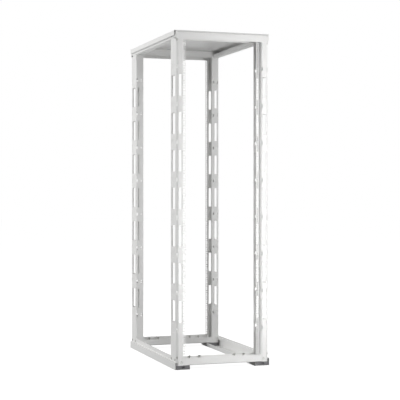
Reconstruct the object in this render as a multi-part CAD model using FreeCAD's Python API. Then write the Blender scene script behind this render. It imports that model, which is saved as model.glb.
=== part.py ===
"""Four post open frame rack, 42 units high, for 19 inch equipment.

Two welded frames of folded sheet, one at the front and one at the rear, stand
on blocks in two base rails and are tied at the top by two side rails that
carry a roof panel. Each post holds a perforated mounting rail.

Frame: X to the right seen from the front, Y to the rear, Z up. The origin is
in the middle of the footprint, on the floor. All lengths are millimetres.
Every corner piece is built at the front left and mirrored to the others.
"""
import FreeCAD, Part
import math
import os

Vec = FreeCAD.Vector

# ------------------------------------------------- 19 inch rack geometry
RACK_UNIT = 44.45
UNIT_COUNT = 42
HOLE_COLUMN_SPACING = 465.1
HOLE_PITCH = 15.875
SQUARE_HOLE = 9.5
UNIT_AREA_MARGIN = 6.0

# ---------------------------------------------------------------- overall
OVERALL_DEPTH = 1000.0
FRAME_INSET = 10.0
FRAME_FLOOR_GAP = 25.0

# ------------------------------------------------------------ sheet gauges
FRAME_GAUGE = 2.0
ROOF_GAUGE = 1.5
BEND_RADIUS = 1.5
SEAM_GAP = 0.3

# ------------------------------------------------------------------- posts
POST_FACE = 41.0
POST_LIP = 24.0
POST_RETURN = 50.0
CHANNEL_DEPTH = 115.0
EDGE_CHAMFER = 11.0

# ------------------------------------------------------------- post slots
SLOT_PITCH_UNITS = 5
SLOT_COUNT = 7
SLOT_LENGTH = 127.0
SLOT_CORNER = 4.0
FACE_SLOT_OUTER_LAND = 14.5
FACE_SLOT_INNER_LAND = 6.5
SIDE_SLOT_FRONT_LAND = 32.0
SIDE_SLOT_REAR_LAND = 20.0
RETURN_SLOT_OUTER_LAND = 14.0
RETURN_SLOT_INNER_LAND = 21.0
RETURN_SLOT_CORNER = 0.0
CORNER_SLOT_WIDTH = 7.0
CORNER_SLOT_LENGTH = 26.0

# ---------------------------------------------------------- mounting rails
RAIL_RECESS = 30.0
COLUMN_OFFSET = 16.45
RAIL_FLANGE_EDGE = 7.5

# ------------------------------------------------------- headers and rails
HEADER_FACE = 50.0
HEADER_RETURN = 43.0
LOWER_FACE = 44.0
LOWER_RETURN = 38.0

# -------------------------------------------------------------- base rails
BASE_SHOULDER = 8.0
BASE_WIDTH = 92.0
BASE_HEIGHT = 46.0
BASE_TOP_FLANGE = 48.0
BASE_INNER_LIP = 20.0

# ----------------------------------------------------------- corner blocks
POCKET_WIDTH = 24.0
POCKET_HEIGHT = 11.0
POCKET_DEPTH = 12.0

# --------------------------------------------------------- top side rails
TOP_RAIL_DROP = 44.0
TOP_RAIL_FLOOR = 40.0
TOP_RAIL_LIP = 22.0
TOP_RAIL_LEDGE = 15.0

# -------------------------------------------------------------------- roof
ROOF_SETBACK = 14.0
ROOF_FLANGE = 30.0

# ------------------------------------------------------- worked-out sizes
HALF_GAUGE = FRAME_GAUGE / 2
COLUMN_SETBACK = POST_FACE + COLUMN_OFFSET
FRAME_WIDTH = HOLE_COLUMN_SPACING + 2 * COLUMN_SETBACK
OVERALL_WIDTH = FRAME_WIDTH + 2 * FRAME_INSET
LEFT_X = -FRAME_WIDTH / 2
FRONT_Y = -OVERALL_DEPTH / 2
UNIT_AREA = UNIT_COUNT * RACK_UNIT
OPENING_HEIGHT = UNIT_AREA + 2 * UNIT_AREA_MARGIN
OPENING_BOTTOM = FRAME_FLOOR_GAP + LOWER_FACE
OPENING_TOP = OPENING_BOTTOM + OPENING_HEIGHT
OPENING_MIDDLE = OPENING_BOTTOM + OPENING_HEIGHT / 2
FRAME_TOP = OPENING_TOP + HEADER_FACE
CUT_REACH = 4 * FRAME_GAUGE
BEND_DEPTH = BEND_RADIUS + FRAME_GAUGE + HALF_GAUGE


# ------------------------------------------------------------ basic shapes
def box(x_range, y_range, z_range):
    """Return the box between three pairs of coordinates."""
    (x_low, x_high), (y_low, y_high), (z_low, z_high) = x_range, y_range, z_range
    return Part.makeBox(x_high - x_low, y_high - y_low, z_high - z_low, Vec(x_low, y_low, z_low))


def around(middle, size):
    """Return the pair of coordinates size apart about middle."""
    return (middle - size / 2, middle + size / 2)


def prism(outline, travel):
    """Return the solid that the closed outline of points sweeps along travel."""
    return Part.Face(Part.makePolygon(outline + outline[:1])).extrude(travel)


def mirrored_right(shape):
    """Return the shape mirrored from the left side to the right side."""
    return shape.mirror(Vec(0, 0, 0), Vec(1, 0, 0))


def mirrored_rear(shape):
    """Return the shape mirrored from the front to the rear."""
    return shape.mirror(Vec(0, 0, 0), Vec(0, 1, 0))


# ---------------------------------------------------------- folded sections
def eased_line(points, gauge):
    """Return the middle line with each corner cut back to its bend.

    Each bend is one flat facet, so that the long folded pieces stay light.
    """
    radius = BEND_RADIUS + gauge / 2
    line = [points[0]]
    for before, corner, after in zip(points, points[1:], points[2:]):
        back = (before - corner).normalize()
        onward = (after - corner).normalize()
        reach = radius / math.tan(back.getAngle(onward) / 2)
        line.append(corner + back * reach)
        line.append(corner + onward * reach)
    line.append(points[-1])
    return line


def offset_line(points, normal, distance):
    """Return the line of points moved sideways in its plane, mitred."""
    runs = [(end - start).normalize() for start, end in zip(points, points[1:])]
    sides = [normal.cross(run) for run in runs]
    moved = [points[0] + sides[0] * distance]
    for point, side, next_side in zip(points[1:], sides, sides[1:]):
        mitre = side + next_side
        moved.append(point + mitre * (2 * distance / mitre.dot(mitre)))
    moved.append(points[-1] + sides[-1] * distance)
    return moved


def folded_sheet(middle_line, travel, gauge=FRAME_GAUGE):
    """Return the folded sheet whose section's middle line is swept by travel."""
    normal = Vec(travel).normalize()
    line = eased_line(middle_line, gauge)
    one_side = offset_line(line, normal, gauge / 2)
    other_side = offset_line(line, normal, -gauge / 2)
    return prism(one_side + other_side[::-1], travel)


# ------------------------------------------------------------------- slots
def slot_heights():
    """Return the heights of the long slots' centres."""
    pitch = SLOT_PITCH_UNITS * RACK_UNIT
    first = OPENING_MIDDLE - pitch * (SLOT_COUNT - 1) / 2
    return [first + pitch * index for index in range(SLOT_COUNT)]


def bridge_heights():
    """Return the heights halfway between the long slots and past the last."""
    half_pitch = SLOT_PITCH_UNITS * RACK_UNIT / 2
    heights = slot_heights()
    return [heights[0] - half_pitch] + [height + half_pitch for height in heights]


def slot_cutter(middle, across, width, length, corner=0.0):
    """Return a cutter for an upright slot whose corners are cut off.

    across is the unit vector along the slot's width, in the sheet's plane.
    """
    up = Vec(0, 0, 1)
    through = across.cross(up) * CUT_REACH
    half = width / 2
    rise = length / 2
    outline = [
        (half, rise - corner), (half - corner, rise),
        (corner - half, rise), (-half, rise - corner),
        (-half, corner - rise), (corner - half, -rise),
        (half - corner, -rise), (half, corner - rise),
    ]
    start = middle - through
    points = [start + across * u + up * z for u, z in dict.fromkeys(outline)]
    return prism(points, through * 2)


def post_slot_cutters():
    """Return the cutters for every slot of the front left post."""
    right = Vec(1, 0, 0)
    rearward = Vec(0, 1, 0)
    front_corner = Vec(LEFT_X, FRONT_Y, 0)
    rear_corner = Vec(LEFT_X, FRONT_Y + CHANNEL_DEPTH, 0)
    long_slots = [
        (front_corner, right, FACE_SLOT_OUTER_LAND, POST_FACE - FACE_SLOT_INNER_LAND, SLOT_CORNER),
        (front_corner, rearward, SIDE_SLOT_FRONT_LAND, CHANNEL_DEPTH - SIDE_SLOT_REAR_LAND, SLOT_CORNER),
        (rear_corner, right, RETURN_SLOT_OUTER_LAND, POST_RETURN - RETURN_SLOT_INNER_LAND, RETURN_SLOT_CORNER),
    ]
    cutters = []
    for corner, across, near, far, cut_off in long_slots:
        for z in slot_heights():
            middle = corner + across * ((near + far) / 2) + Vec(0, 0, z)
            cutters.append(slot_cutter(middle, across, far - near, SLOT_LENGTH, cut_off))
    along_chamfer = Vec(1, -1, 0).normalize()
    chamfer_middle = front_corner + Vec(EDGE_CHAMFER / 2, EDGE_CHAMFER / 2, 0)
    for z in bridge_heights():
        middle = chamfer_middle + Vec(0, 0, z)
        cutters.append(slot_cutter(middle, along_chamfer, CORNER_SLOT_WIDTH, CORNER_SLOT_LENGTH))
    return cutters


# ------------------------------------------------------------------- posts
def front_left_post():
    """Return the front left post: return, side wall, chamfer, face and lip.

    The face and lip stop under the header. The side wall and return run on
    up inside it.
    """
    side = LEFT_X + HALF_GAUGE
    face = FRONT_Y + HALF_GAUGE
    back = FRONT_Y + CHANNEL_DEPTH - HALF_GAUGE
    lip = LEFT_X + POST_FACE - HALF_GAUGE
    foot = FRAME_FLOOR_GAP
    top = FRAME_TOP - FRAME_GAUGE
    section = [
        Vec(LEFT_X + POST_RETURN, back, foot),
        Vec(side, back, foot),
        Vec(side, FRONT_Y + EDGE_CHAMFER, foot),
        Vec(LEFT_X + EDGE_CHAMFER, face, foot),
        Vec(lip, face, foot),
        Vec(lip, FRONT_Y + POST_LIP, foot),
    ]
    post = folded_sheet(section, Vec(0, 0, top - foot))
    header_room = box(
        (LEFT_X - CUT_REACH, LEFT_X + POST_RETURN + CUT_REACH),
        (FRONT_Y - CUT_REACH, FRONT_Y + POST_LIP + CUT_REACH),
        (OPENING_TOP, FRAME_TOP),
    )
    return post.cut(Part.makeCompound(post_slot_cutters() + [header_room]))


def post_walls(post):
    """Return the walls of the front left post by name, parted beside the side slots.

    The walls meet edge to edge. Parted, the side is left as the bridges
    between its slots, and each wall keeps the channel open to whatever
    touches the post.
    """
    side_front = FRONT_Y + SIDE_SLOT_FRONT_LAND
    side_back = FRONT_Y + CHANNEL_DEPTH - SIDE_SLOT_REAR_LAND
    heights = (0, FRAME_TOP)
    side_room = box(
        (LEFT_X - CUT_REACH, LEFT_X + CUT_REACH),
        (side_front, side_back),
        heights,
    )
    return_room = box(
        (LEFT_X - CUT_REACH, LEFT_X + POST_RETURN + CUT_REACH),
        (side_back, FRONT_Y + CHANNEL_DEPTH + CUT_REACH),
        heights,
    )
    return {
        "post_face": post.cut(Part.makeCompound([side_room, return_room])),
        "post_side": post.common(side_room),
        "post_return": post.common(return_room),
    }


# ---------------------------------------------------------- mounting rails
def hole_heights():
    """Return the heights of the square holes, three to a rack unit."""
    lowest = OPENING_MIDDLE - UNIT_AREA / 2
    middles = [lowest + (number + 0.5) * RACK_UNIT for number in range(UNIT_COUNT)]
    return [middle + step * HOLE_PITCH for middle in middles for step in (-1, 0, 1)]


def front_left_mounting_rail():
    """Return the front left mounting rail, an angle with square holes."""
    web = LEFT_X + POST_FACE + HALF_GAUGE
    flange = FRONT_Y + RAIL_RECESS + HALF_GAUGE
    column = LEFT_X + COLUMN_SETBACK
    section = [
        Vec(web, FRONT_Y + BEND_DEPTH, OPENING_BOTTOM),
        Vec(web, flange, OPENING_BOTTOM),
        Vec(column + RAIL_FLANGE_EDGE, flange, OPENING_BOTTOM),
    ]
    rail = folded_sheet(section, Vec(0, 0, OPENING_HEIGHT))
    holes = [
        box(
            around(column, SQUARE_HOLE),
            around(flange, CUT_REACH),
            around(z, SQUARE_HOLE),
        )
        for z in hole_heights()
    ]
    return rail.cut(Part.makeCompound(holes))


# ------------------------------------------------------------ cross pieces
def front_header():
    """Return the front header, a channel open downwards.

    Its return ends against the returns of the two posts.
    """
    face = FRONT_Y + HALF_GAUGE
    web = FRAME_TOP - HALF_GAUGE
    back = FRONT_Y + CHANNEL_DEPTH - HALF_GAUGE
    section = [
        Vec(LEFT_X, face, OPENING_TOP),
        Vec(LEFT_X, face, FRAME_TOP - EDGE_CHAMFER),
        Vec(LEFT_X, FRONT_Y + EDGE_CHAMFER, web),
        Vec(LEFT_X, back, web),
        Vec(LEFT_X, back, FRAME_TOP - HEADER_RETURN),
    ]
    header = folded_sheet(section, Vec(FRAME_WIDTH, 0, 0))
    post_room = box(
        (LEFT_X - CUT_REACH, LEFT_X + POST_RETURN + SEAM_GAP),
        (FRONT_Y + CHANNEL_DEPTH - BEND_DEPTH, FRONT_Y + CHANNEL_DEPTH + CUT_REACH),
        (OPENING_TOP, FRAME_TOP - FRAME_GAUGE),
    )
    return header.cut(post_room).cut(mirrored_right(post_room))


def front_lower_rail():
    """Return the front lower rail, a channel open upwards between the posts."""
    face = FRONT_Y + HALF_GAUGE
    web = FRAME_FLOOR_GAP + HALF_GAUGE
    back = FRONT_Y + CHANNEL_DEPTH - HALF_GAUGE
    start = LEFT_X + POST_FACE
    section = [
        Vec(start, face, OPENING_BOTTOM),
        Vec(start, face, web),
        Vec(start, back, web),
        Vec(start, back, FRAME_FLOOR_GAP + LOWER_RETURN),
    ]
    rail = folded_sheet(section, Vec(FRAME_WIDTH - 2 * POST_FACE, 0, 0))
    post_room = box(
        (start - CUT_REACH, LEFT_X + POST_RETURN + SEAM_GAP),
        (FRONT_Y + CHANNEL_DEPTH - BEND_DEPTH, FRONT_Y + CHANNEL_DEPTH + CUT_REACH),
        (0, OPENING_BOTTOM),
    )
    return rail.cut(post_room).cut(mirrored_right(post_room))


# --------------------------------------------------------------- base rails
def left_base_rail():
    """Return the left base rail, a channel open inwards.

    Its top flange is notched at both ends, where the posts stand in it.
    """
    outer = LEFT_X - BASE_SHOULDER
    front = FRONT_Y
    section = [
        Vec(outer + BASE_TOP_FLANGE, front, BASE_HEIGHT - HALF_GAUGE),
        Vec(outer + HALF_GAUGE, front, BASE_HEIGHT - HALF_GAUGE),
        Vec(outer + HALF_GAUGE, front, HALF_GAUGE),
        Vec(outer + BASE_WIDTH - HALF_GAUGE, front, HALF_GAUGE),
        Vec(outer + BASE_WIDTH - HALF_GAUGE, front, BASE_INNER_LIP),
    ]
    rail = folded_sheet(section, Vec(0, OVERALL_DEPTH, 0))
    post_room = box(
        (outer + BEND_DEPTH, outer + BASE_TOP_FLANGE + CUT_REACH),
        (front - CUT_REACH, front + CHANNEL_DEPTH + SEAM_GAP),
        (BASE_HEIGHT - BEND_DEPTH, BASE_HEIGHT + CUT_REACH),
    )
    return rail.cut(post_room).cut(mirrored_rear(post_room))


def front_left_corner_block():
    """Return the moulded block in the base rail that carries the front left post."""
    outer = LEFT_X - BASE_SHOULDER + BEND_DEPTH
    inner = LEFT_X - BASE_SHOULDER + BASE_WIDTH - BEND_DEPTH
    depth = (FRONT_Y + FRAME_GAUGE, FRONT_Y + CHANNEL_DEPTH)
    seat = box((outer, inner), depth, (FRAME_GAUGE, FRAME_FLOOR_GAP))
    tongue = box((outer, LEFT_X), depth, (FRAME_GAUGE, BASE_HEIGHT - BEND_DEPTH))
    pocket = box(
        around((outer + inner) / 2, POCKET_WIDTH),
        around(depth[0], 2 * POCKET_DEPTH),
        around((FRAME_GAUGE + FRAME_FLOOR_GAP) / 2, POCKET_HEIGHT),
    )
    return seat.fuse(tongue).removeSplitter().cut(pocket)


# --------------------------------------------------------- top of the rack
def left_top_rail():
    """Return the left top rail: a full-length wall and a trough folded from it.

    The trough lies between the two headers.
    """
    outer = LEFT_X - FRAME_GAUGE
    bottom = FRAME_TOP - TOP_RAIL_DROP
    start = FRONT_Y + CHANNEL_DEPTH + SEAM_GAP
    section = [
        Vec(outer + TOP_RAIL_LEDGE, start, FRAME_TOP - HALF_GAUGE),
        Vec(outer + HALF_GAUGE, start, FRAME_TOP - HALF_GAUGE),
        Vec(outer + HALF_GAUGE, start, bottom + HALF_GAUGE),
        Vec(outer + TOP_RAIL_FLOOR, start, bottom + HALF_GAUGE),
        Vec(outer + TOP_RAIL_FLOOR, start, bottom + TOP_RAIL_LIP),
    ]
    trough = folded_sheet(section, Vec(0, -2 * start, 0))
    wall = box(
        (outer, LEFT_X),
        (FRONT_Y, start),
        (bottom + BEND_DEPTH, FRAME_TOP - BEND_DEPTH),
    )
    return trough.fuse(wall).fuse(mirrored_rear(wall)).removeSplitter()


def roof_panel():
    """Return the roof panel with a flange down each side."""
    half = ROOF_GAUGE / 2
    start = FRONT_Y + ROOF_SETBACK
    reach = OVERALL_WIDTH / 2 - half
    top = FRAME_TOP + half
    low = FRAME_TOP + ROOF_GAUGE - ROOF_FLANGE
    section = [
        Vec(-reach, start, low),
        Vec(-reach, start, top),
        Vec(reach, start, top),
        Vec(reach, start, low),
    ]
    return folded_sheet(section, Vec(0, -2 * start, 0), ROOF_GAUGE)


# ---------------------------------------------------------------- assembly
def corner_set(name, shape):
    """Return the four corner copies of a front left piece, by node name."""
    return {
        "front_left_" + name: shape,
        "front_right_" + name: mirrored_right(shape),
        "rear_left_" + name: mirrored_rear(shape),
        "rear_right_" + name: mirrored_right(mirrored_rear(shape)),
    }


def rack():
    """Return every node of the rack by name."""
    nodes = {}
    for name, wall in post_walls(front_left_post()).items():
        nodes.update(corner_set(name, wall))
    nodes.update(corner_set("mounting_rail", front_left_mounting_rail()))
    nodes.update(corner_set("corner_block", front_left_corner_block()))
    for name, shape in (("header", front_header()), ("lower_rail", front_lower_rail())):
        nodes["front_" + name] = shape
        nodes["rear_" + name] = mirrored_rear(shape)
    for name, shape in (("base_rail", left_base_rail()), ("top_rail", left_top_rail())):
        nodes["left_" + name] = shape
        nodes["right_" + name] = mirrored_right(shape)
    nodes["roof_panel"] = roof_panel()
    return nodes


os.makedirs("parts", exist_ok=True)
for node_name, node_shape in rack().items():
    node_shape.exportStep(os.path.join("parts", node_name + ".step"))
    print(node_name, len(node_shape.Solids), round(node_shape.Volume), node_shape.isValid())
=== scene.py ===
"""Studio scene of a four post open frame rack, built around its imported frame.

The folded sheet pieces and the blocks come from the frame. Each is copied,
welded, punched with its small cut-outs and given eased edges. The base rails,
the screws and the studs are made here. The scene is in metres, X to the right
seen from the front, Y to the rear, Z up, with the origin on the floor under the
middle. Sizes that take MM, and what corner_point() takes, are in millimetres.
"""
import logging
import math
from dataclasses import dataclass
from enum import Enum
from typing import Iterable, Sequence

import bmesh
import bpy
from mathutils import Matrix, Vector


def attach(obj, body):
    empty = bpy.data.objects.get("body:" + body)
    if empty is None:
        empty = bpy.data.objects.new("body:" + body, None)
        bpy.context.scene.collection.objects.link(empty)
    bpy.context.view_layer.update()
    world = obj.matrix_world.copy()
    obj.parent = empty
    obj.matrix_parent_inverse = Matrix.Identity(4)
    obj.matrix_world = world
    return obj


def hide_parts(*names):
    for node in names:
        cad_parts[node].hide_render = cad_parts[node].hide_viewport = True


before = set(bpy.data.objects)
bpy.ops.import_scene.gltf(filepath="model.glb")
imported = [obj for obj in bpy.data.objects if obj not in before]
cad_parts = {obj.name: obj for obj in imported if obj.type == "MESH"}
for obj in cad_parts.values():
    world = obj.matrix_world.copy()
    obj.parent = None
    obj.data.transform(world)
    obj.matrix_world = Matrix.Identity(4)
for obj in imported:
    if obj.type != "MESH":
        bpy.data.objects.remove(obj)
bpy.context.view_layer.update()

LOG = logging.getLogger("rack")
MM = 0.001
BODY = "root"
FRAME_HALF_WIDTH = 290.0
FRAME_HALF_DEPTH = 500.0
OPENING_MIDDLE = 1008.45
SLOT_PITCH = 222.25
SLOT_COUNT = 7
SHEET = 2.0 * MM
HOLE_CORNER_LIMIT = 1.6 * SHEET
HOLE_CORNER_ANGLE = math.radians(30)
SHARP_ANGLE = math.radians(28)
SMOOTH_ANGLE = math.radians(40)
FLAT_ANGLE = math.radians(0.5)
WELD_DISTANCE = 0.01 * MM
BLOCK_SEGMENTS = 5


class Corner(Enum):
    """A corner of the rack: its name and the signs of its X and Y."""

    FRONT_LEFT = ("front_left", -1, -1)
    FRONT_RIGHT = ("front_right", 1, -1)
    REAR_LEFT = ("rear_left", -1, 1)
    REAR_RIGHT = ("rear_right", 1, 1)

    @property
    def label(self) -> str:
        """Return the corner's name."""
        return self.value[0]

    @property
    def signs(self) -> Vector:
        """Return the signs of X and Y at this corner, with 1 for Z."""
        return Vector((self.value[1], self.value[2], 1))


class Slot(Enum):
    """A finish slot of the part's record."""

    FRAME = "frame_paint"
    RAIL = "rail_paint"
    BASE = "base_paint"
    ROOF = "roof_paint"
    BLOCK = "block_plastic"


class Drive(Enum):
    """How a screw is driven."""

    CROSS = "cross"
    HEX = "hex"


# ------------------------------------------------------------ shader groups
def new_group(
    name: str, inputs: Sequence[tuple[str, float]], outputs: Sequence[str],
) -> bpy.types.NodeTree:
    """Start a shader node group with float inputs and outputs.

    Args:
        name: The group's name.
        inputs: Names and default values of the inputs.
        outputs: Names of the outputs.

    Returns:
        The group's node tree, with its input and output nodes in place.
    """
    group = bpy.data.node_groups.new(name, "ShaderNodeTree")
    for label, value in inputs:
        socket = group.interface.new_socket(label, in_out="INPUT", socket_type="NodeSocketFloat")
        socket.default_value = value
    for label in outputs:
        group.interface.new_socket(label, in_out="OUTPUT", socket_type="NodeSocketFloat")
    group.nodes.new("NodeGroupInput").name = "in"
    group.nodes.new("NodeGroupOutput").name = "out"
    return group


def break_up(group: bpy.types.NodeTree, mask: bpy.types.NodeSocket, detail: float) -> None:
    """End a group that has Scale and Amount by breaking its mask up with noise.

    Args:
        group: The group, whose output is Mask.
        mask: The socket that gives the unbroken mask.
        detail: Detail of the noise.
    """
    nodes, links = group.nodes, group.links
    place = nodes.new("ShaderNodeTexCoord")
    noise = nodes.new("ShaderNodeTexNoise")
    noise.inputs["Detail"].default_value = detail
    both, scaled = nodes.new("ShaderNodeMath"), nodes.new("ShaderNodeMath")
    both.operation = scaled.operation = "MULTIPLY"
    links.new(place.outputs["Object"], noise.inputs["Vector"])
    links.new(nodes["in"].outputs["Scale"], noise.inputs["Scale"])
    links.new(mask, both.inputs[0])
    links.new(noise.outputs["Fac"], both.inputs[1])
    links.new(both.outputs[0], scaled.inputs[0])
    links.new(nodes["in"].outputs["Amount"], scaled.inputs[1])
    links.new(scaled.outputs[0], nodes["out"].inputs["Mask"])


class ShaderGroups:
    """The effects that more than one finish uses, each built once."""

    def __init__(self) -> None:
        """Build the groups."""
        self.grain = self._grain()
        self.drift = self._drift()
        self.dust = self._dust()
        self.wear = self._wear()

    @staticmethod
    def _grain() -> bpy.types.NodeTree:
        """Return the fine grain of a textured coat or a moulding, as a height."""
        group = new_group("coat_grain", [("Scale", 900.0), ("Depth", 0.5)], ["Height"])
        nodes, links = group.nodes, group.links
        place = nodes.new("ShaderNodeTexCoord")
        fine = nodes.new("ShaderNodeTexNoise")
        fine.inputs["Detail"].default_value = 3.0
        pits = nodes.new("ShaderNodeTexVoronoi")
        pits.feature = "SMOOTH_F1"
        mix = nodes.new("ShaderNodeMath")
        mix.operation = "ADD"
        scaled = nodes.new("ShaderNodeMath")
        scaled.operation = "MULTIPLY"
        links.new(place.outputs["Object"], fine.inputs["Vector"])
        links.new(place.outputs["Object"], pits.inputs["Vector"])
        links.new(nodes["in"].outputs["Scale"], fine.inputs["Scale"])
        links.new(nodes["in"].outputs["Scale"], pits.inputs["Scale"])
        links.new(fine.outputs["Fac"], mix.inputs[0])
        links.new(pits.outputs["Distance"], mix.inputs[1])
        links.new(mix.outputs[0], scaled.inputs[0])
        links.new(nodes["in"].outputs["Depth"], scaled.inputs[1])
        links.new(scaled.outputs[0], nodes["out"].inputs["Height"])
        return group

    @staticmethod
    def _drift() -> bpy.types.NodeTree:
        """Return a slow change over a surface, from 1 - Amount to 1 + Amount."""
        group = new_group("tone_drift", [("Scale", 3.0), ("Amount", 0.02)], ["Factor"])
        nodes, links = group.nodes, group.links
        place = nodes.new("ShaderNodeTexCoord")
        cloud = nodes.new("ShaderNodeTexNoise")
        cloud.inputs["Detail"].default_value = 2.0
        centred = nodes.new("ShaderNodeMapRange")
        centred.inputs["To Min"].default_value = -1.0
        spread = nodes.new("ShaderNodeMath")
        spread.operation = "MULTIPLY_ADD"
        spread.inputs[2].default_value = 1.0
        links.new(place.outputs["Object"], cloud.inputs["Vector"])
        links.new(nodes["in"].outputs["Scale"], cloud.inputs["Scale"])
        links.new(cloud.outputs["Fac"], centred.inputs["Value"])
        links.new(centred.outputs["Result"], spread.inputs[0])
        links.new(nodes["in"].outputs["Amount"], spread.inputs[1])
        links.new(spread.outputs[0], nodes["out"].inputs["Factor"])
        return group

    @staticmethod
    def _dust() -> bpy.types.NodeTree:
        """Return a mask of thin dust on what faces up, broken up by noise."""
        group = new_group("settled_dust", [("Amount", 0.1), ("Scale", 40.0)], ["Mask"])
        nodes, links = group.nodes, group.links
        surface = nodes.new("ShaderNodeNewGeometry")
        split = nodes.new("ShaderNodeSeparateXYZ")
        upward = nodes.new("ShaderNodeMapRange")
        upward.inputs["From Min"].default_value = 0.6
        links.new(surface.outputs["Normal"], split.inputs[0])
        links.new(split.outputs["Z"], upward.inputs["Value"])
        break_up(group, upward.outputs["Result"], 4.0)
        return group

    @staticmethod
    def _wear() -> bpy.types.NodeTree:
        """Return a mask of rubbed edges, from the surface's pointiness."""
        group = new_group("edge_wear", [("Amount", 0.2), ("Scale", 120.0)], ["Mask"])
        nodes, links = group.nodes, group.links
        surface = nodes.new("ShaderNodeNewGeometry")
        edges = nodes.new("ShaderNodeMapRange")
        edges.inputs["From Min"].default_value = 0.52
        edges.inputs["From Max"].default_value = 0.62
        links.new(surface.outputs["Pointiness"], edges.inputs["Value"])
        break_up(group, edges.outputs["Result"], 2.0)
        return group


# ---------------------------------------------------------------- finishes
@dataclass(frozen=True)
class Finish:
    """How a surface is coated and how it has aged.

    Attributes:
        name: The material's name.
        colour: Base colour, linear.
        roughness: Roughness of the top coat.
        metallic: 0 for paint and plastic, 1 for bare metal.
        grain_scale: Grains of the coat per metre.
        grain_height: Height of the grain in metres.
        drift: How far the tone wanders over the surface.
        dust: How much dust lies on what faces up.
        wear: How much the edges are rubbed.
        rubbed: Colour of a rubbed edge, linear.
    """

    name: str
    colour: tuple[float, float, float]
    roughness: float
    metallic: float = 0.0
    grain_scale: float = 900.0
    grain_height: float = 0.00004
    drift: float = 0.015
    dust: float = 0.05
    wear: float = 0.15
    rubbed: tuple[float, float, float] = (0.62, 0.62, 0.61)


FRAME_PAINT = Finish("frame_powder_coat", (0.80, 0.80, 0.79), 0.42)
RAIL_PAINT = Finish("rail_powder_coat", (0.82, 0.82, 0.81), 0.40)
BASE_PAINT = Finish("base_powder_coat", (0.79, 0.79, 0.78), 0.45, dust=0.12)
ROOF_PAINT = Finish("roof_powder_coat", (0.80, 0.80, 0.79), 0.45, dust=0.12)
BLOCK_PLASTIC = Finish(
    "block_moulding", (0.16, 0.16, 0.165), 0.55, grain_scale=1600.0, rubbed=(0.22, 0.22, 0.22),
)
ZINC = Finish(
    "zinc_plate", (0.60, 0.60, 0.58), 0.34,
    metallic=1.0, grain_scale=2400.0, grain_height=0.00001, wear=0.3,
)
DUST_COLOUR = (0.62, 0.60, 0.56, 1.0)
DRIFT_SCALE = 3.0
WEAR_SCALE = 120.0
DUST_SCALE = 40.0
BUMP_STRENGTH = 0.35


class Paintshop:
    """Makes each finish's material once and hands it out."""

    def __init__(self) -> None:
        """Build the shader groups."""
        self.groups = ShaderGroups()
        self.made: dict[str, bpy.types.Material] = {}

    def material(self, finish: Finish) -> bpy.types.Material:
        """Return the material of a finish.

        Args:
            finish: The finish to look up or make.

        Returns:
            Its material, shared by every piece that has it.
        """
        if finish.name not in self.made:
            self.made[finish.name] = self._make(finish)
            LOG.info("material %s", finish.name)
        return self.made[finish.name]

    @staticmethod
    def _effect(nodes: bpy.types.Nodes, tree: bpy.types.NodeTree, **values: float) -> bpy.types.Node:
        """Return a group node of that tree with its inputs set by name."""
        node = nodes.new("ShaderNodeGroup")
        node.node_tree = tree
        for label, value in values.items():
            node.inputs[label].default_value = value
        return node

    def _make(self, finish: Finish) -> bpy.types.Material:
        """Return a new material for the finish."""
        material = bpy.data.materials.new(finish.name)
        material.use_nodes = True
        nodes, links = material.node_tree.nodes, material.node_tree.links
        shader = nodes["Principled BSDF"]
        shader.inputs["Roughness"].default_value = finish.roughness
        shader.inputs["Metallic"].default_value = finish.metallic
        shader.inputs["Base Color"].default_value = (*finish.colour, 1.0)

        drift = self._effect(nodes, self.groups.drift, Amount=finish.drift, Scale=DRIFT_SCALE)
        tone = nodes.new("ShaderNodeHueSaturation")
        tone.inputs["Color"].default_value = (*finish.colour, 1.0)
        links.new(drift.outputs["Factor"], tone.inputs["Value"])

        wear = self._effect(nodes, self.groups.wear, Amount=finish.wear, Scale=WEAR_SCALE)
        rubbed = nodes.new("ShaderNodeMix")
        rubbed.data_type = "RGBA"
        rubbed.inputs["B"].default_value = (*finish.rubbed, 1.0)
        links.new(wear.outputs["Mask"], rubbed.inputs["Factor"])
        links.new(tone.outputs["Color"], rubbed.inputs["A"])

        dust = self._effect(nodes, self.groups.dust, Amount=finish.dust, Scale=DUST_SCALE)
        dusty = nodes.new("ShaderNodeMix")
        dusty.data_type = "RGBA"
        dusty.inputs["B"].default_value = DUST_COLOUR
        links.new(dust.outputs["Mask"], dusty.inputs["Factor"])
        links.new(rubbed.outputs["Result"], dusty.inputs["A"])
        links.new(dusty.outputs["Result"], shader.inputs["Base Color"])

        grain = self._effect(nodes, self.groups.grain, Scale=finish.grain_scale, Depth=1.0)
        bump = nodes.new("ShaderNodeBump")
        bump.inputs["Strength"].default_value = BUMP_STRENGTH
        bump.inputs["Distance"].default_value = finish.grain_height
        links.new(grain.outputs["Height"], bump.inputs["Height"])
        links.new(bump.outputs["Normal"], shader.inputs["Normal"])
        return material


# ------------------------------------------------------------------ shapes
def link_mesh(name: str, bm: bmesh.types.BMesh) -> bpy.types.Object:
    """Turn a bmesh into an object in the scene, and free the bmesh.

    Args:
        name: The object's name.
        bm: The bmesh, in the row frame.

    Returns:
        The new object, at the origin.
    """
    mesh = bpy.data.meshes.new(name)
    bm.to_mesh(mesh)
    bm.free()
    shape = bpy.data.objects.new(name, mesh)
    bpy.context.scene.collection.objects.link(shape)
    return shape


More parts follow.
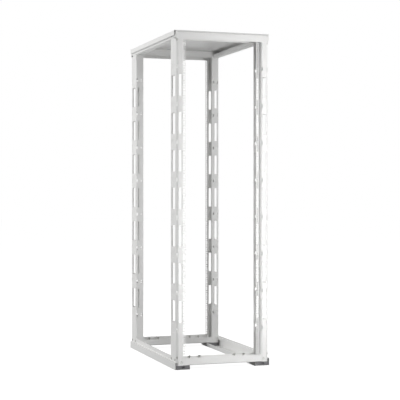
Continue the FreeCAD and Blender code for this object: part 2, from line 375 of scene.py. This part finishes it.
def rounded_block(
    bm: bmesh.types.BMesh, middle: Vector, size: Vector, axis: int, radius: float,
) -> None:
    """Add a block whose edges along one axis are rounded.

    Args:
        bm: The bmesh to add to.
        middle: The block's middle.
        size: Its lengths along X, Y and Z.
        axis: Which axis the rounded edges run along, 0 to 2.
        radius: Radius of those edges.
    """
    place = Matrix.Translation(middle) @ Matrix.Diagonal((*size, 1.0))
    start = bmesh.ops.create_cube(bm, size=1.0, matrix=place)["verts"]
    edges = dict.fromkeys(
        edge
        for vert in start
        for edge in vert.link_edges
        if abs((edge.verts[0].co - edge.verts[1].co).normalized()[axis]) > 0.99
    )
    bmesh.ops.bevel(
        bm, geom=list(edges), offset=radius, offset_type="OFFSET", segments=BLOCK_SEGMENTS,
        profile=0.5, affect="EDGES", clamp_overlap=True, material=-1,
    )


def add_cylinder(
    bm: bmesh.types.BMesh,
    radius: float,
    length: float,
    place: Matrix,
    sides: int,
    end: float | None = None,
) -> list[bmesh.types.BMVert]:
    """Add a closed cylinder, prism or taper along the Z of its place.

    Args:
        bm: The bmesh to add to.
        radius: Its radius in mm.
        length: Its length in mm.
        place: Its middle and turn.
        sides: How many sides it has.
        end: Radius in mm of its far end, if that differs.

    Returns:
        Its vertices.
    """
    return bmesh.ops.create_cone(
        bm, cap_ends=True, segments=sides, radius1=radius * MM,
        radius2=(radius if end is None else end) * MM, depth=length * MM, matrix=place,
    )["verts"]


def mirror_all(bm: bmesh.types.BMesh, signs: Vector) -> None:
    """Mirror everything in the bmesh by the signs of X and Y.

    Args:
        bm: The bmesh, built for the front left corner, where both are -1.
        signs: The corner's signs.
    """
    flip = Vector((-signs.x, -signs.y, 1.0))
    bmesh.ops.scale(bm, vec=flip, verts=bm.verts)
    if flip.x * flip.y < 0:
        bmesh.ops.reverse_faces(bm, faces=bm.faces)


def corner_point(u: float, v: float, z: float) -> Vector:
    """Return a point of the front left corner, in metres.

    Args:
        u: Distance to the right of the posts' outer side, in mm.
        v: Distance behind the front face, in mm.
        z: Height, in mm.
    """
    return Vector(((u - FRAME_HALF_WIDTH) * MM, (v - FRAME_HALF_DEPTH) * MM, z * MM))


def bridge_heights() -> list[float]:
    """Return the heights in mm of the middles of the bridges between slots."""
    first = OPENING_MIDDLE - SLOT_COUNT / 2 * SLOT_PITCH
    return [first + SLOT_PITCH * index for index in range(SLOT_COUNT + 1)]


@dataclass(frozen=True)
class Easing:
    """How much the edges of a sheet piece are eased, in metres.

    Attributes:
        punched: Radius at the corners of punched holes.
        edge: Radius of every sheared or folded edge.
    """

    punched: float
    edge: float


def is_sharp(edge: bmesh.types.BMEdge, least: float) -> bool:
    """Return whether the faces beside an edge turn by more than least radians."""
    return len(edge.link_faces) == 2 and edge.calc_face_angle() > least


def ease_edges(bm: bmesh.types.BMesh, easing: Easing) -> None:
    """Round the corners of the holes, then ease every sharp edge.

    Args:
        bm: The piece.
        easing: The radii.
    """
    through = [
        edge
        for edge in bm.edges
        if is_sharp(edge, HOLE_CORNER_ANGLE)
        and not edge.is_convex
        and edge.calc_length() < HOLE_CORNER_LIMIT
    ]
    if through and easing.punched:
        bmesh.ops.bevel(
            bm, geom=through, offset=easing.punched, offset_type="OFFSET", segments=3,
            profile=0.5, affect="EDGES", clamp_overlap=True, material=-1,
        )
    sharp = [edge for edge in bm.edges if is_sharp(edge, SHARP_ANGLE)]
    bmesh.ops.bevel(
        bm, geom=sharp, offset=easing.edge, offset_type="OFFSET", segments=2,
        profile=0.5, affect="EDGES", clamp_overlap=True, material=-1,
    )


def shade(shape: bpy.types.Object) -> None:
    """Shade an object smooth, with flats kept flat by weighted normals.

    Args:
        shape: The object.
    """
    for polygon in shape.data.polygons:
        polygon.use_smooth = True
    shape.data.set_sharp_from_angle(angle=SMOOTH_ANGLE)
    weighted = shape.modifiers.new("flats", "WEIGHTED_NORMAL")
    weighted.keep_sharp = True


def combine(shape: bpy.types.Object, other: bpy.types.Object, operation: str) -> None:
    """Join another object to an object, or cut it away, and remove it.

    Args:
        shape: The object to change. Its mesh is replaced.
        other: The object to join or to cut with.
        operation: UNION or DIFFERENCE.
    """
    modifier = shape.modifiers.new("combine", "BOOLEAN")
    modifier.operation = operation
    modifier.solver = "EXACT"
    modifier.object = other
    bpy.context.view_layer.update()
    result = bpy.data.meshes.new_from_object(shape.evaluated_get(bpy.context.evaluated_depsgraph_get()))
    shape.modifiers.clear()
    old = shape.data
    shape.data = result
    bpy.data.meshes.remove(old)
    result.name = shape.name
    mesh = other.data
    bpy.data.objects.remove(other)
    bpy.data.meshes.remove(mesh)


def merge_flats(bm: bmesh.types.BMesh) -> None:
    """Weld doubled vertices and merge the triangles of each flat face.

    Args:
        bm: The bmesh.
    """
    bmesh.ops.remove_doubles(bm, verts=bm.verts, dist=WELD_DISTANCE)
    bmesh.ops.dissolve_limit(
        bm, angle_limit=FLAT_ANGLE, use_dissolve_boundaries=False, verts=bm.verts, edges=bm.edges,
    )


def welded_copy(node: str) -> bpy.types.Object:
    """Return a copy of a piece of the frame with its flat faces merged.

    Args:
        node: The piece's name.
    """
    bm = bmesh.new()
    bm.from_mesh(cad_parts[node].data)
    merge_flats(bm)
    return link_mesh(node + "_copy", bm)


class Builder:
    """Finishes pieces: gives them their material and body."""

    def __init__(self, shop: Paintshop) -> None:
        """Keep the paintshop that the pieces get their materials from.

        Args:
            shop: The paintshop.
        """
        self.shop = shop

    def finish(
        self, shape: bpy.types.Object, finish: Finish, slot: Slot | None = None,
    ) -> bpy.types.Object:
        """Paint an object and fix it to the rack.

        Args:
            shape: The object, in place.
            finish: Its finish.
            slot: The record's slot for its finish, if any. Not used.

        Returns:
            The object.
        """
        shape.data.materials.clear()
        shape.data.materials.append(self.shop.material(finish))
        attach(shape, BODY)
        LOG.info("piece %s: %d faces", shape.name, len(shape.data.polygons))
        return shape

    def refined(
        self,
        name: str,
        nodes: Sequence[str],
        finish: Finish,
        slot: Slot,
        easing: Easing,
        cutter: bpy.types.Object | None = None,
        parting: Sequence[float] = (),
    ) -> bpy.types.Object:
        """Make the refined sheet that stands for one or more pieces of the frame.

        Args:
            name: The sheet's name.
            nodes: The frame's pieces. Where they meet, they become one sheet.
            finish: Its finish.
            slot: Its slot.
            easing: How its edges are eased.
            cutter: What is cut from it first, if anything.
            parting: Heights in mm where its flats are parted, so that no flat has a hole inside.

        Returns:
            The sheet, which replaces the pieces.
        """
        first, *others = nodes
        shape = welded_copy(first)
        shape.name = shape.data.name = name
        for other in others:
            combine(shape, welded_copy(other), "UNION")
        if cutter is not None:
            combine(shape, cutter, "DIFFERENCE")
        bm = bmesh.new()
        bm.from_mesh(shape.data)
        merge_flats(bm)
        for height in parting:
            bmesh.ops.bisect_plane(
                bm, geom=[*bm.verts, *bm.edges, *bm.faces], dist=0.001 * MM,
                plane_co=(0, 0, height * MM), plane_no=(0, 0, 1),
            )
        ease_edges(bm, easing)
        bm.to_mesh(shape.data)
        bm.free()
        shade(shape)
        self.stand_in(shape, nodes, finish)
        return self.finish(shape, finish, slot)

    def stand_in(self, shape: bpy.types.Object, nodes: Sequence[str], finish: Finish) -> None:
        """Let a piece stand for pieces of the frame, which get its finish too.

        Args:
            shape: The piece.
            nodes: The frame's pieces.
            finish: Their finish.
        """
        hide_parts(*nodes)
        for node in nodes:
            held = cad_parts[node]
            if not held.material_slots:
                held.data.materials.append(None)
            for place in held.material_slots:
                place.material = self.shop.material(finish)


# ------------------------------------------------------------ the assembly
@dataclass(frozen=True)
class CutOut:
    """A small cut-out that each bridge of a post has.

    Attributes:
        u: Its middle to the right of the posts' outer side, in mm.
        v: Its middle behind the front face, in mm.
        size: Its lengths along X, Y and Z in mm.
        axis: The axis that its rounded edges run along.
        radius: Their radius in mm.
    """

    u: float
    v: float
    size: tuple[float, float, float]
    axis: int
    radius: float

    def add(self, bm: bmesh.types.BMesh, z: float) -> None:
        """Add the cut-out's block at a height in mm."""
        rounded_block(
            bm, corner_point(self.u, self.v, z), Vector(self.size) * MM, self.axis, self.radius * MM,
        )


NOTCH = CutOut(40.5, 6.5, (11, 15, 22), 1, 3)
OUTER_OVAL = CutOut(7.5, 114, (7, 8, 22), 1, 3.4)
INNER_OVAL = CutOut(36.5, 114, (9, 8, 18), 1, 4.4)
DIMPLE = CutOut(-0.5, 55, (3.6, 76, 34), 0, 14)
FRONT_BOLT_U = 30.0
FRONT_BOLT_Z = 44.0
FRONT_BORE_RADIUS = 8.2
FRONT_BORE_DEPTH = 8.0


@dataclass
class Posts:
    """The four folded posts, with the small cut-outs between their slots."""

    builder: Builder
    easing: Easing = Easing(punched=1.8 * MM, edge=0.3 * MM)

    def cutter(self, corner: Corner) -> bpy.types.Object:
        """Return the cutter of one post's small cut-outs.

        Args:
            corner: The post's corner.
        """
        bm = bmesh.new()
        for z in bridge_heights():
            for cut_out in (NOTCH, OUTER_OVAL, INNER_OVAL, DIMPLE):
                cut_out.add(bm, z)
        bore = Matrix.Translation(corner_point(FRONT_BOLT_U, 0, FRONT_BOLT_Z))
        turn = Matrix.Rotation(math.radians(90), 4, "X")
        add_cylinder(bm, FRONT_BORE_RADIUS, FRONT_BORE_DEPTH, bore @ turn, 32)
        mirror_all(bm, corner.signs)
        return link_mesh("post_cutter", bm)

    def build(self) -> None:
        """Make the four posts."""
        middles = bridge_heights()
        parting = middles + [z + SLOT_PITCH / 2 for z in middles[:-1]]
        for corner in Corner:
            walls = [f"{corner.label}_post_{wall}" for wall in ("face", "side", "return")]
            self.builder.refined(
                corner.label + "_post_sheet", walls, FRAME_PAINT, Slot.FRAME,
                self.easing, self.cutter(corner), parting,
            )


@dataclass
class MountingRails:
    """The four mounting rails with their square holes."""

    builder: Builder
    easing: Easing = Easing(punched=0.6 * MM, edge=0.25 * MM)

    def cutter(self, corner: Corner) -> bpy.types.Object:
        """Return the cutter of the notches in one rail's web.

        Args:
            corner: The rail's corner.
        """
        bm = bmesh.new()
        for z in bridge_heights():
            NOTCH.add(bm, z)
        mirror_all(bm, corner.signs)
        return link_mesh("rail_cutter", bm)

    def build(self) -> None:
        """Make the four rails."""
        for corner in Corner:
            rail = corner.label + "_mounting_rail"
            self.builder.refined(
                rail + "_sheet", [rail], RAIL_PAINT, Slot.RAIL, self.easing, self.cutter(corner),
            )


@dataclass
class CrossPieces:
    """The headers, lower rails, top rails, roof and blocks."""

    builder: Builder
    easing: Easing = Easing(punched=1.0 * MM, edge=0.35 * MM)

    def build(self) -> None:
        """Make them all."""
        for end in ("front", "rear"):
            for part in ("header", "lower_rail"):
                self._sheet(f"{end}_{part}", FRAME_PAINT, Slot.FRAME)
        for side in ("left", "right"):
            self._sheet(side + "_top_rail", BASE_PAINT, Slot.BASE)
        self._sheet("roof_panel", ROOF_PAINT, Slot.ROOF)
        for corner in Corner:
            block = corner.label + "_corner_block"
            self.builder.refined(
                block + "_moulding", [block], BLOCK_PLASTIC, Slot.BLOCK,
                Easing(punched=0.0, edge=0.8 * MM),
            )

    def _sheet(self, node: str, finish: Finish, slot: Slot) -> None:
        """Make the refined sheet of one node."""
        self.builder.refined(node + "_sheet", [node], finish, slot, self.easing)


@dataclass
class BaseRails:
    """The two base rails: a floor plate with a lip, an outer wall and a drilled web.

    The lengths are in mm. u and v are measured as corner_point() says.
    """

    builder: Builder
    gauge: float = 2.0
    outer: float = -8.0
    inner: float = 84.0
    shoulder: float = 46.0
    lip: float = 25.0
    web: float = 2.0
    web_top: float = 73.0
    seat: float = 40.0
    length: float = 1000.0
    post_depth: float = 116.0
    hole_pitch: float = 50.0
    hole_radius: float = 4.0
    hole_height: float = 61.0
    drill_length: float = 12.0
    easing: Easing = Easing(0.0, 0.6 * MM)

    def _bar(self, section: Sequence[tuple[float, float]], near: float, far: float) -> bmesh.types.BMesh:
        """Return a bar with a given section.

        Args:
            section: The section's corners as (u, z), in order.
            near: v of its near end.
            far: v of its far end.
        """
        bm = bmesh.new()
        face = bm.faces.new([bm.verts.new(corner_point(u, near, z)) for u, z in section])
        swept = bmesh.ops.extrude_face_region(bm, geom=[face])["geom"]
        ends = [item for item in swept if isinstance(item, bmesh.types.BMVert)]
        bmesh.ops.translate(bm, verts=ends, vec=(0, (far - near) * MM, 0))
        bmesh.ops.recalc_face_normals(bm, faces=bm.faces)
        return bm

    def _trough(self) -> bpy.types.Object:
        """Return the floor plate with its lip, outer wall and shoulder."""
        gauge, outer, inner = self.gauge, self.outer, self.inner
        edge = self.web + gauge
        section = (
            (inner, self.lip), (inner, 0.0), (outer, 0.0), (outer, self.shoulder),
            (edge, self.shoulder), (edge, self.shoulder - gauge), (outer + gauge, self.shoulder - gauge),
            (outer + gauge, gauge), (inner - gauge, gauge), (inner - gauge, self.lip),
        )
        return link_mesh("rail_trough", self._bar(section, 0.0, self.length))

    def _flat(
        self, left: float, right: float, low: float, high: float, near: float, far: float,
    ) -> bpy.types.Object:
        """Return a flat part of the rail, from its limits in u, z and v."""
        section = ((left, low), (right, low), (right, high), (left, high))
        return link_mesh("rail_flat", self._bar(section, near, far))

    def _drill(self) -> bpy.types.Object:
        """Return the cutter of the web's row of holes."""
        bm = bmesh.new()
        turn = Matrix.Rotation(math.radians(90), 4, "Y")
        count = int((self.length - 2 * self.post_depth) / self.hole_pitch)
        first = (self.length - (count - 1) * self.hole_pitch) / 2
        for index in range(count):
            place = corner_point(self.web, first + index * self.hole_pitch, self.hole_height)
            add_cylinder(bm, self.hole_radius, self.drill_length, Matrix.Translation(place) @ turn, 20)
        return link_mesh("rail_drill", bm)

    def _rail(self, side: str, signs: Vector) -> bpy.types.Object:
        """Return one rail.

        Args:
            side: left or right.
            signs: The signs of its front corner.
        """
        low = self.shoulder - self.gauge
        far = self.length - self.post_depth
        shape = self._trough()
        shape.name = shape.data.name = side + "_base_rail_sheet"
        edge = self.web + self.gauge
        combine(shape, self._flat(self.web, edge, low, self.web_top, self.post_depth, far), "UNION")
        for near, end in ((0.0, self.post_depth), (far, self.length)):
            combine(shape, self._flat(self.web, self.seat, low, self.shoulder, near, end), "UNION")
        combine(shape, self._drill(), "DIFFERENCE")
        bm = bmesh.new()
        bm.from_mesh(shape.data)
        merge_flats(bm)
        ease_edges(bm, self.easing)
        mirror_all(bm, signs)
        bm.to_mesh(shape.data)
        bm.free()
        shade(shape)
        return shape

    def build(self) -> None:
        """Make the left rail and its mirrored twin."""
        for corner in (Corner.FRONT_LEFT, Corner.FRONT_RIGHT):
            side = corner.label.split("_")[1]
            shape = self._rail(side, corner.signs)
            self.builder.stand_in(shape, [side + "_base_rail"], BASE_PAINT)
            self.builder.finish(shape, BASE_PAINT, Slot.BASE)


@dataclass(frozen=True)
class Screw:
    """A screw or bolt head on a face of the rack.

    Attributes:
        place: Its seat, as (u, v, z) in mm of the front left corner.
        facing: The way its head faces there.
        radius: The head's radius in mm.
        height: The head's height in mm.
        drive: How it is driven.
    """

    place: tuple[float, float, float]
    facing: tuple[float, float, float]
    radius: float
    height: float
    drive: Drive


CORNER_SCREWS = (
    Screw((5.5, 5.5, 73.0), (-1, -1, 0), 5.0, 2.4, Drive.CROSS),
    Screw((5.5, 5.5, 1941.0), (-1, -1, 0), 5.0, 2.4, Drive.CROSS),
    Screw((FRONT_BOLT_U, 3.1, FRONT_BOLT_Z), (0, -1, 0), 6.0, 3.0, Drive.HEX),
    Screw((0.0, 26.0, 57.0), (-1, 0, 0), 6.0, 3.0, Drive.HEX),
    Screw((0.0, 98.0, 57.0), (-1, 0, 0), 6.0, 3.0, Drive.HEX),
)


HEAD_TAPER = 0.86
RECESS_SHARE = 0.45
WASHER_SHARE = 1.3
WASHER_HEIGHT = 0.8
STUD_PLACES = (116.0, 178.0, 402.0, 464.0)
STUD_FOOT = 27.0
# radius, length, height of the middle above the foot, and sides: the bolt,
# the upper nut and the lower nut, all in mm
STUD_PARTS = ((4, 41, 20.5, 20), (7.5, 6.5, 36.0, 6), (7.5, 6.5, 3.3, 6))
FRONT_STUDS_V = 106.0
REAR_STUDS_V = 970.0


class Fasteners:
    """The screws at each corner and the studs on the lower rails."""

    def __init__(self, builder: Builder) -> None:
        """Keep the builder.

        Args:
            builder: What finishes the pieces.
        """
        self.builder = builder

    def _head(self, bm: bmesh.types.BMesh, screw: Screw) -> None:
        """Add a screw's head, with its recess, to the bmesh."""
        facing = Vector(screw.facing).normalized()
        turn = facing.to_track_quat("Z", "Y").to_matrix().to_4x4()
        seat = Matrix.Translation(corner_point(*screw.place)) @ turn
        sides = 6 if screw.drive is Drive.HEX else 24
        lift = Matrix.Translation((0, 0, screw.height / 2 * MM))
        head = add_cylinder(
            bm, screw.radius, screw.height, seat @ lift, sides, screw.radius * HEAD_TAPER,
        )
        cap = max(
            {face for vert in head for face in vert.link_faces},
            key=lambda face: face.calc_center_median().dot(facing),
        )
        rim = screw.radius * RECESS_SHARE * MM
        bmesh.ops.inset_region(bm, faces=[cap], thickness=rim, use_even_offset=True)
        bmesh.ops.translate(bm, verts=list(cap.verts), vec=-facing * screw.height * RECESS_SHARE * MM)
        washer = Matrix.Translation((0, 0, WASHER_HEIGHT / 2 * MM))
        add_cylinder(bm, screw.radius * WASHER_SHARE, WASHER_HEIGHT, seat @ washer, 32)

    def corner_screws(self, corner: Corner) -> bpy.types.Object:
        """Return the screws of one corner as one piece.

        Args:
            corner: The corner.
        """
        bm = bmesh.new()
        for screw in CORNER_SCREWS:
            self._head(bm, screw)
        mirror_all(bm, corner.signs)
        shape = link_mesh(corner.label + "_screws", bm)
        shade(shape)
        return self.builder.finish(shape, ZINC)

    def studs(self, name: str, v: float) -> bpy.types.Object:
        """Return the four studs that stand in a lower rail, each with its two nuts.

        Args:
            name: The piece's name.
            v: How far behind the front face they stand, in mm.
        """
        bm = bmesh.new()
        for u in STUD_PLACES:
            foot = corner_point(u, v, STUD_FOOT)
            for radius, length, height, sides in STUD_PARTS:
                place = Matrix.Translation(foot + Vector((0, 0, height * MM)))
                add_cylinder(bm, radius, length, place, sides)
        shape = link_mesh(name, bm)
        shade(shape)
        return self.builder.finish(shape, ZINC)

    def build(self) -> None:
        """Make all the fasteners."""
        for corner in Corner:
            self.corner_screws(corner)
        self.studs("front_rail_studs", FRONT_STUDS_V)
        self.studs("rear_rail_studs", REAR_STUDS_V)


# ------------------------------------------------------------------ studio
@dataclass(frozen=True)
class Lamp:
    """A soft area lamp of the studio.

    Attributes:
        name: The lamp's name.
        place: Where it hangs, in metres.
        aim: The point it faces.
        width: Its width in metres.
        height: Its height in metres.
        power: Its power in watts.
    """

    name: str
    place: tuple[float, float, float]
    aim: tuple[float, float, float]
    width: float
    height: float
    power: float


LAMPS = (
    Lamp("high_left", (-5.0, 0.5, 4.4), (0.0, 0.0, 0.9), 3.0, 3.0, 215.0),
    Lamp("low_left", (-3.4, 1.2, 1.1), (-0.3, 0.0, 0.7), 2.0, 2.2, 54.0),
    Lamp("high_front", (0.9, -3.4, 3.0), (0.0, 0.0, 0.9), 2.2, 2.2, 16.0),
    Lamp("front_strip", (0.5, -1.6, 1.05), (0.0, -0.2, 1.0), 0.6, 2.3, 18.5),
    Lamp("low_front", (0.2, -1.9, 0.35), (0.0, -0.2, 1.2), 1.8, 0.6, 8.0),
    Lamp("top", (0.0, -0.6, 3.4), (0.0, 0.0, 0.8), 2.5, 2.5, 10.0),
    Lamp("high_right", (2.6, 0.2, 3.0), (0.0, 0.0, 0.6), 2.0, 2.0, 40.0),
    Lamp("rear", (0.5, 3.2, 1.9), (0.0, 0.0, 1.0), 2.2, 2.6, 26.0),
)
AMBIENT = 0.0
FLOOR_TONE = 0.28
NEAR_GLOW = 0.92
FAR_GLOW = 1.0
GLOW_NEAR_REACH = 1.0
GLOW_FAR_REACH = 4.0
FLOOR_SIZE = 30.0
SENSOR_WIDTH = 36.0
FOCAL_LENGTH = 100.17
CAMERA_SHIFT = -0.0237
CAMERA_PLACE = (-2.2636, -6.7249, 1.055)
CAMERA_TURN = (90.0, 0.0, -18.8)


class Studio:
    """The floor, the white surroundings, the lamps and the camera."""

    def floor(self) -> None:
        """Lay a plain floor, white to the camera apart from the rack's shadow."""
        bm = bmesh.new()
        bmesh.ops.create_grid(bm, x_segments=1, y_segments=1, size=FLOOR_SIZE)
        floor = link_mesh("studio_floor", bm)
        material = bpy.data.materials.new("studio_floor")
        material.use_nodes = True
        nodes, links = material.node_tree.nodes, material.node_tree.links
        nodes.clear()
        output = nodes.new("ShaderNodeOutputMaterial")
        seen = nodes.new("ShaderNodeLightPath")
        pale = nodes.new("ShaderNodeBsdfDiffuse")
        pale.inputs["Color"].default_value = (FLOOR_TONE, FLOOR_TONE, FLOOR_TONE, 1.0)
        place = nodes.new("ShaderNodeTexCoord")
        reach = nodes.new("ShaderNodeVectorMath")
        reach.operation = "LENGTH"
        strength = nodes.new("ShaderNodeMapRange")
        strength.inputs["From Min"].default_value = GLOW_NEAR_REACH
        strength.inputs["From Max"].default_value = GLOW_FAR_REACH
        strength.inputs["To Min"].default_value = NEAR_GLOW
        strength.inputs["To Max"].default_value = FAR_GLOW
        glow = nodes.new("ShaderNodeEmission")
        links.new(place.outputs["Object"], reach.inputs[0])
        links.new(reach.outputs["Value"], strength.inputs["Value"])
        links.new(strength.outputs["Result"], glow.inputs["Strength"])
        both = nodes.new("ShaderNodeAddShader")
        pick = nodes.new("ShaderNodeMixShader")
        links.new(pale.outputs[0], both.inputs[0])
        links.new(glow.outputs[0], both.inputs[1])
        links.new(seen.outputs["Is Camera Ray"], pick.inputs[0])
        links.new(pale.outputs[0], pick.inputs[1])
        links.new(both.outputs[0], pick.inputs[2])
        links.new(pick.outputs[0], output.inputs["Surface"])
        floor.data.materials.append(material)

    def surroundings(self) -> None:
        """Make the world white to the camera and dim to everything else."""
        world = bpy.data.worlds.new("studio")
        bpy.context.scene.world = world
        world.use_nodes = True
        nodes, links = world.node_tree.nodes, world.node_tree.links
        nodes.clear()
        output = nodes.new("ShaderNodeOutputWorld")
        seen = nodes.new("ShaderNodeLightPath")
        ambient = nodes.new("ShaderNodeBackground")
        ambient.inputs["Color"].default_value = (1.0, 1.0, 1.0, 1.0)
        ambient.inputs["Strength"].default_value = AMBIENT
        white = nodes.new("ShaderNodeBackground")
        white.inputs["Color"].default_value = (1.0, 1.0, 1.0, 1.0)
        white.inputs["Strength"].default_value = 1.0
        pick = nodes.new("ShaderNodeMixShader")
        links.new(seen.outputs["Is Camera Ray"], pick.inputs[0])
        links.new(ambient.outputs[0], pick.inputs[1])
        links.new(white.outputs[0], pick.inputs[2])
        links.new(pick.outputs[0], output.inputs["Surface"])

    def lamps(self, lamps: Iterable[Lamp]) -> None:
        """Hang the lamps.

        Args:
            lamps: The lamps to hang.
        """
        for lamp in lamps:
            light = bpy.data.lights.new(lamp.name, "AREA")
            light.shape = "RECTANGLE"
            light.size = lamp.width
            light.size_y = lamp.height
            light.energy = lamp.power
            holder = bpy.data.objects.new(lamp.name, light)
            holder.location = lamp.place
            away = Vector(lamp.place) - Vector(lamp.aim)
            holder.rotation_euler = away.to_track_quat("Z", "Y").to_euler()
            holder.visible_camera = False
            bpy.context.scene.collection.objects.link(holder)

    def camera(self) -> None:
        """Set up the camera, level and left of the rack's front."""
        lens = bpy.data.cameras.new("camera")
        lens.sensor_width = SENSOR_WIDTH
        lens.lens = FOCAL_LENGTH
        lens.shift_y = CAMERA_SHIFT
        holder = bpy.data.objects.new("camera", lens)
        holder.location = CAMERA_PLACE
        holder.rotation_euler = [math.radians(angle) for angle in CAMERA_TURN]
        bpy.context.scene.collection.objects.link(holder)
        bpy.context.scene.camera = holder

    def build(self) -> None:
        """Set up the whole studio."""
        self.floor()
        self.surroundings()
        self.lamps(LAMPS)
        self.camera()
        settings = bpy.context.scene.view_settings
        settings.view_transform = "Standard"


def main() -> None:
    """Build the rack and its studio."""
    logging.basicConfig(level=logging.INFO, format="%(name)s: %(message)s")
    builder = Builder(Paintshop())
    Posts(builder).build()
    MountingRails(builder).build()
    CrossPieces(builder).build()
    BaseRails(builder).build()
    Fasteners(builder).build()
    Studio().build()


if __name__ == "__main__":
    main()
